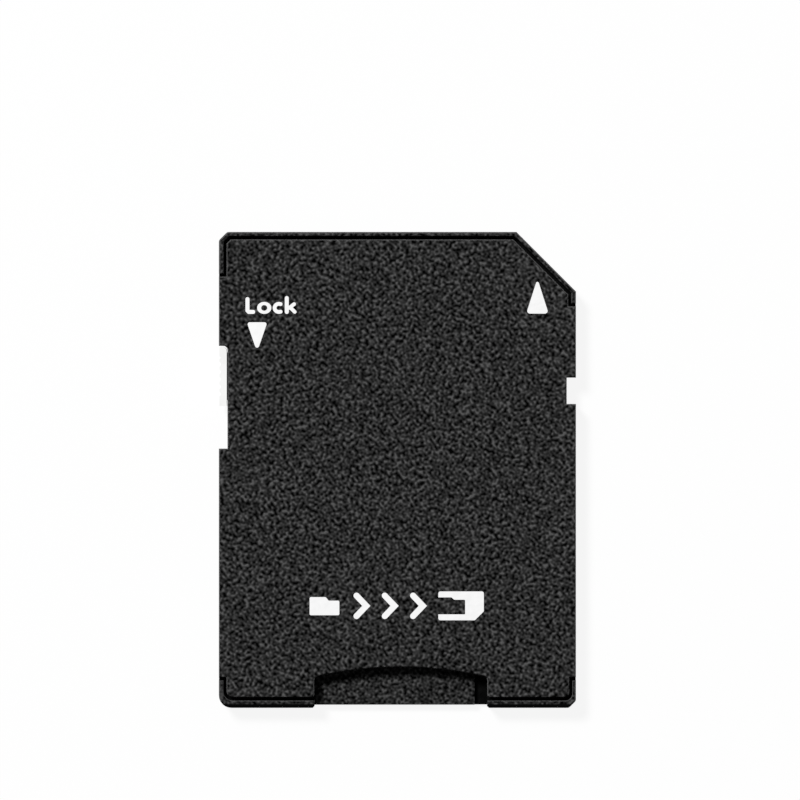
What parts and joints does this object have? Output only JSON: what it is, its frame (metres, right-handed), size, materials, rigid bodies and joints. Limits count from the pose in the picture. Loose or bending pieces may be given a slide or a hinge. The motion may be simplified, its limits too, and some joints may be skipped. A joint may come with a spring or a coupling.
{
  "type": "memory card adapter",
  "caption": "Flat black card adapter with a cut corner, a sliding lock tab, gold contact windows underneath and a rear slot with a thumb cut-out for a small card.",
  "frame": {"origin": "centre of the card's bounding box in X and Y, on the contact side's resting face", "axes": "+X to the right of the label face (cut corner's side), +Y to the contact end, +Z out of the label face"},
  "size_m": [0.024, 0.032, 0.0021],
  "materials": {
    "contact_side_plastic": "fine spark-eroded matte black",
    "label_side_plastic": "coarse spark-eroded matte black with white pad print",
    "slider_plastic": "smooth white moulding",
    "contact_gold": "gold-plated strip",
    "spring_steel": "bright rolled strip"
  },
  "bodies": {
    "housing": {"bottom_shell": "contact_side_plastic", "top_shell": "label_side_plastic", "contact_pad_9": "contact_gold", "contact_pad_1": "contact_gold", "contact_pad_2": "contact_gold", "contact_ground": "contact_gold", "contact_pad_4": "contact_gold", "contact_pad_5": "contact_gold", "contact_pad_7": "contact_gold", "contact_pad_8": "contact_gold", "card_retention_spring": "spring_steel"},
    "lock": {"lock_slider": "slider_plastic"}
  },
  "joints": [
    {"name": "lock_slide", "type": "slide", "parent": "housing", "child": "lock", "axis": [0, -1, 0], "range_m": [0, 0.0028]}
  ]
}
